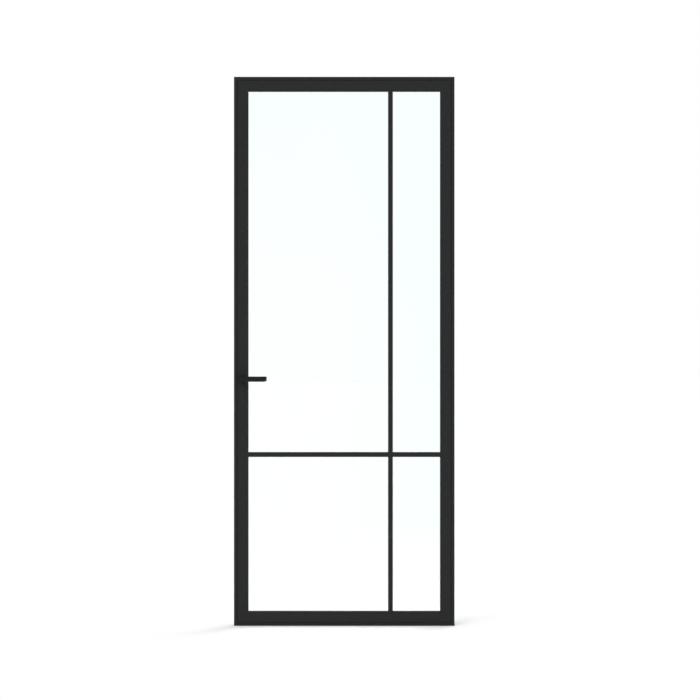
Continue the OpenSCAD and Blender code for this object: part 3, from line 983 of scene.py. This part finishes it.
@dataclass
class Glazing(Assembly):
    """The pane with its gaskets, blocks, beads and bead screws; sizes in mm."""

    beads: tuple[str, ...] = ("bead_lock_side", "bead_hinge_side", "bead_bottom", "bead_top")
    bead_edge: float = 0.5
    sight: float = 60.0
    bead_y: float = 4.0
    first_screw: float = 160.0
    upright_screws: int = 5
    level_screws: int = 3
    gasket_u: Pair = (45.0, 59.0)
    gasket_y: dict[str, Pair] = field(
        default_factory=lambda: {"front_gasket": (-17.0, -14.0), "rear_gasket": (-3.0, -6.0)})
    screw: SocketScrew = SocketScrew(shank_d=3.4, head_d=5.8, length=18.0, across_flats=2.0, socket_depth=1.3)

    def dress(self, shop: Shop) -> None:
        """Puts the finishes on the glazing's solids; the pane casts no shadow.

        Args:
            shop: the finishing shop.
        """
        shop.dress(["glass_pane"], PANE, None)
        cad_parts["glass_pane"].visible_shadow = False
        shop.dress(["setting_blocks"], RUBBER)
        shop.dress(self.beads, POWDER, self.bead_edge, mitred=True)

    def screw_places(self, side: Side) -> list[Matrix]:
        """Places the bead screws of one side.

        Args:
            side: the side.

        Returns:
            Their places, with +Z towards the glass.
        """
        upright = side in (Side.LEFT, Side.RIGHT)
        run, count = (HEIGHT, self.upright_screws) if upright else (2 * HALF_W, self.level_screws)
        step = (run - 2 * self.first_screw) / (count - 1)
        inset = HALF_W - self.sight
        made = []
        for i in range(count):
            at = self.first_screw + i * step
            x, z, angle = {Side.LEFT: (-inset, at, QUARTER), Side.RIGHT: (inset, at, -QUARTER),
                           Side.BOTTOM: (at - HALF_W, self.sight, 0.0),
                           Side.TOP: (at - HALF_W, HEIGHT - self.sight, math.pi)}[side]
            made.append(turned_place(x, self.bead_y, z, angle))
        return made

    def build(self, shop: Shop) -> None:
        """Makes the lipped gaskets and the bead screws.

        Args:
            shop: the finishing shop.
        """
        for name, faces in self.gasket_y.items():
            lip = SweptRing(lip_profile(*self.gasket_u, *faces))
            shop.piece(f"{name}_lip", lip.mesh(), "leaf", RUBBER, [name])
        screws = self.screw.mesh(place for side in Side for place in self.screw_places(side))
        shop.piece("bead_socket_screws", screws, "leaf", SATIN, ["bead_screws"])


@dataclass
class Bars(Assembly):
    """The flat bars bonded to both faces of the pane."""

    kinds: tuple[str, ...] = ("upright_bar", "left_cross_bar", "right_cross_bar")
    bar_edge: float = 0.5

    def dress(self, shop: Shop) -> None:
        """Puts the finishes on the bars and their tape.

        Args:
            shop: the finishing shop.
        """
        for face in Face:
            shop.dress([f"{face.value}_{kind}" for kind in self.kinds], POWDER, self.bar_edge)
            shop.dress([f"{face.value}_bar_tape"], RUBBER)


@dataclass
class Hinges(Assembly):
    """Three weld-on barrel hinges at the back of the hinge side; sizes in mm."""

    heights: dict[str, float] = field(
        default_factory=lambda: {"bottom": 260.0, "middle": 1157.5, "top": 2055.0})
    barrel_edge: float = 0.4
    washer_edge: float = 0.2
    back_y: float = 20.0
    leaf_foot_x: float = 447.0
    jamb_in_x: float = 461.2
    jamb_out_x: float = 463.6
    barrel: float = 58.0
    half_washer: float = 1.0
    weld_shift: Pair = (0.3, 0.2)  # of the leaf's weld out of its corner, along X and Y
    weld_short: float = 1.5  # how far it stops before the barrel's ends
    bead: WeldBead = WeldBead()

    def dress(self, shop: Shop) -> None:
        """Puts the finishes on the hinges' solids.

        Args:
            shop: the finishing shop.
        """
        for place in self.heights:
            barrels = [f"hinge_frame_barrel_{place}", f"hinge_leaf_barrel_{place}"]
            shop.dress(barrels, POWDER, self.barrel_edge)
            shop.dress([f"hinge_pin_{place}"], STEEL_UP, self.barrel_edge)
            shop.dress([f"hinge_washer_{place}"], BRASS, self.washer_edge)

    def build(self, shop: Shop) -> None:
        """Makes the welds at the hinges' feet.

        Args:
            shop: the finishing shop.
        """
        x, y = self.leaf_foot_x + self.weld_shift[0], self.back_y + self.weld_shift[1]
        for place, z in self.heights.items():
            low = z + self.half_washer + self.weld_short
            high = z + self.half_washer + self.barrel - self.weld_short
            upright = self.bead.mesh((x, y, low), (x, y, high))
            shop.piece(f"leaf_hinge_weld_{place}", upright, "leaf", POWDER)
            foot = z - self.half_washer - self.barrel
            level = self.bead.mesh((self.jamb_in_x, self.back_y, foot), (self.jamb_out_x, self.back_y, foot))
            shop.piece(f"frame_hinge_weld_{place}", level, "frame", POWDER)


@dataclass
class LatchSet(Assembly):
    """The latch in the lock stile: case, face plate, bolt and springs; sizes in mm."""

    plate_edge: float = 0.15
    bolt_edge: float = 0.3
    hub_edge: float = 0.2
    edge_x: float = -457.0
    mid_y: float = 4.0
    screw_z: Pair = (996.75, 1100.75)
    screw: SocketScrew = SocketScrew(shank_d=4.0, head_d=7.2, length=7.0, across_flats=2.5, socket_depth=1.6)
    spring: CoilSpring = CoilSpring(radius=2.35, wire_d=0.8, length=20.8, turns=7.0)
    spring_x: float = -445.0
    spring_z: float = 1062.99
    travel: float = 7.0

    def dress(self, shop: Shop) -> None:
        """Puts the finishes on the latch's solids.

        Args:
            shop: the finishing shop.
        """
        shop.dress(["latch_case", "latch_case_cover", "latch_face_plate"], STEEL_UP, self.plate_edge)
        shop.dress(["latch_bolt"], STEEL_ACROSS, self.bolt_edge)
        shop.dress(["hub"], STEEL_THROUGH, self.hub_edge)
        shop.dress(["hub_spring"], STEEL_THROUGH)

    def build(self, shop: Shop) -> None:
        """Makes the face plate's screws and the bolt's spring.

        Args:
            shop: the finishing shop.
        """
        places = [turned_place(self.edge_x, self.mid_y, z, -QUARTER) for z in self.screw_z]
        screws = self.screw.mesh(places)
        shop.piece("face_plate_socket_screws", screws, "leaf", STEEL_ACROSS, ["face_plate_screws"])
        place = turned_place(self.spring_x, self.mid_y, self.spring_z, QUARTER)
        wire = self.spring.mesh(place)
        coil = shop.piece("latch_coil_spring", wire, "leaf", STEEL_THROUGH, ["latch_spring"])
        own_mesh(coil)


@dataclass
class Handles(Assembly):
    """The two levers on their roses, with spindle and set screws; sizes in mm."""

    lever_edge: float = 0.9
    base_edge: float = 0.2
    spindle_edge: float = 0.15
    set_screw_edge: float = 0.1

    def dress(self, shop: Shop) -> None:
        """Puts the finishes on the handles' solids.

        Args:
            shop: the finishing shop.
        """
        for face in Face:
            shop.dress([f"{face.value}_lever", f"{face.value}_rose_cover"], SATIN, self.lever_edge)
            shop.dress([f"{face.value}_rose_base"], STEEL_THROUGH, self.base_edge)
        shop.dress(["rose_screws", "spindle"], STEEL_THROUGH, self.spindle_edge)
        shop.dress(["lever_set_screws"], STEEL_UP, self.set_screw_edge)


@dataclass(frozen=True)
class Lamp:
    """A soft lamp that lights everything from one direction, given from the door to the lamp."""

    name: str
    towards: Point
    strength: float  # in watts per square metre
    angle: float = math.radians(35)  # how much of the sky it fills
    distance: float = 6.0

    def build(self) -> None:
        """Puts the lamp into the scene."""
        data = bpy.data.lights.new(self.name, "SUN")
        data.energy, data.angle = self.strength, self.angle
        lamp = new_object(self.name, data)
        lamp.location = Vector(self.towards) * self.distance
        lamp.rotation_mode = "QUATERNION"
        lamp.rotation_quaternion = Vector(self.towards).to_track_quat("Z", "Y")
        lamp.visible_glossy = False


@dataclass
class Studio:
    """Pale floor, white surround, soft lamps and the camera; sizes in metres."""

    camera_at: Point = (0.0243, -7.809, 1.1631)
    lens: float = 95.0
    sensor: float = 36.0
    far: float = 200.0
    diffuse_light: float = 0.55
    floor_size: float = 120.0
    floor_z: float = -0.0005
    floor_glow: float = 0.10
    floor_tone: Colour = (0.82, 0.82, 0.82)
    floor_shade: float = 0.99
    card_at: Point = (0.0, -3.1, 1.75)
    card_size: Pair = (2.4, 3.5)
    card_pale: Colour = (1.0, 1.0, 1.0)
    card_sky: Colour = (0.0, 1.0, 1.0)
    lamps: tuple[Lamp, ...] = (Lamp("front_lamp", (-0.35, -0.70, 0.62), strength=1.6),
                               Lamp("rear_lamp", (0.45, 0.65, 0.62), strength=1.3))

    @staticmethod
    def seen(graph: Graph) -> NodeSocket:
        """Tells which rays should see the white surround itself: camera, mirror and glass rays.

        Args:
            graph: the graph that asks.

        Returns:
            1 for these rays and 0 for others.
        """
        path = graph.add("ShaderNodeLightPath")
        first = graph.math("MAXIMUM", path.outputs["Is Camera Ray"], path.outputs["Is Glossy Ray"])
        return graph.math("MAXIMUM", first, path.outputs["Is Transmission Ray"])

    @staticmethod
    def sheet(name: str, width: float, height: float, place: Matrix, material: Material) -> Object:
        """Makes a flat stage sheet.

        Args:
            name: its name.
            width: its size along its own X.
            height: its size along its own Y.
            place: where it stands.
            material: its material.

        Returns:
            The sheet.
        """
        shape = bmesh.new()
        bmesh.ops.create_grid(shape, x_segments=4, y_segments=4, size=0.5)
        bmesh.ops.scale(shape, vec=(width, height, 1.0), verts=shape.verts)
        made = mesh_object(name, shape, material)
        made.matrix_world = place
        return made

    def surround(self) -> None:
        """Makes the white world, which lights matt surfaces at a plain level."""
        world = bpy.data.worlds.new("white_surround")
        world.use_nodes = True
        graph = Graph(world.node_tree)
        level = graph.spread(self.seen(graph), self.diffuse_light, 1.0, start=0.0, end=1.0)
        back = graph.add("ShaderNodeBackground", {"Color": (1.0, 1.0, 1.0), "Strength": level})
        graph.show(back, "ShaderNodeOutputWorld")
        bpy.context.scene.world = world

    def floor(self) -> None:
        """Makes the pale floor, which keeps the shadow."""
        material, graph = empty_material("pale_floor")
        shade = tuple(self.floor_shade * c for c in self.floor_tone)
        tone = graph.tint(graph.noise(graph.coordinates(), scale=3.0), self.floor_tone, shade)
        matt = graph.add("ShaderNodeBsdfDiffuse", {"Color": tone})
        level = graph.math("MULTIPLY", self.seen(graph), self.floor_glow)
        glow = graph.add("ShaderNodeEmission", {"Strength": level})
        both = graph.add("ShaderNodeAddShader")
        graph.fill_row(both.inputs, (matt.outputs[0], glow.outputs[0]))
        graph.show(both)
        place = Matrix.Translation((0.0, 0.0, self.floor_z))
        self.sheet("studio_floor", self.floor_size, self.floor_size, place, material)

    def sky_card(self) -> None:
        """Makes the card before the door that only mirror rays see: pale, with sky above and to the right."""
        material, graph = empty_material("sky_card")
        spot = graph.split(graph.coordinates())
        across, up = spot["X"], spot["Y"]
        above = graph.spread(up, 0.0, 0.85, start=-0.35, end=0.90)
        right = graph.spread(across, 0.0, 0.90, start=-0.10, end=0.50)
        sky = graph.math("ADD", above, right, clamp=True)
        for edge in (graph.spread(graph.math("ABSOLUTE", across), 1.0, 0.0, start=0.62, end=1.15),
                     graph.spread(up, 1.0, 0.0, start=1.05, end=1.70),
                     graph.spread(up, 0.0, 1.0, start=-1.75, end=-1.60)):
            sky = graph.math("MULTIPLY", sky, edge)
        graph.show(graph.add("ShaderNodeEmission", {"Color": graph.tint(sky, self.card_pale, self.card_sky)}))
        place = Matrix.Translation(self.card_at) @ Matrix.Rotation(QUARTER, 4, "X")
        card = self.sheet("sky_card", *self.card_size, place, material)
        card.visible_camera = card.visible_diffuse = card.visible_shadow = False
        card.visible_transmission = card.visible_volume_scatter = False

    def camera(self) -> None:
        """Makes the level camera in front of the door."""
        data = bpy.data.cameras.new("front_camera")
        data.lens, data.sensor_width, data.clip_end = self.lens, self.sensor, self.far
        camera = new_object("front_camera", data)
        camera.location = self.camera_at
        camera.rotation_euler = (QUARTER, 0.0, 0.0)
        bpy.context.scene.camera = camera

    def build(self) -> None:
        """Sets the whole studio up."""
        bpy.context.scene.view_settings.view_transform = "Standard"
        self.surround()
        self.floor()
        self.sky_card()
        for lamp in self.lamps:
            lamp.build()
        self.camera()


def main() -> None:
    """Sets the studio up, then dresses and builds every sub-assembly."""
    logging.basicConfig(level=logging.INFO, format="%(name)s: %(message)s")
    Studio().build()
    shop = Shop()
    for assembly in (AngleFrame(), DoorLeaf(), Glazing(), Bars(), Hinges(), LatchSet(), Handles()):
        assembly.dress(shop)
        assembly.build(shop)


if __name__ == "__main__":
    main()
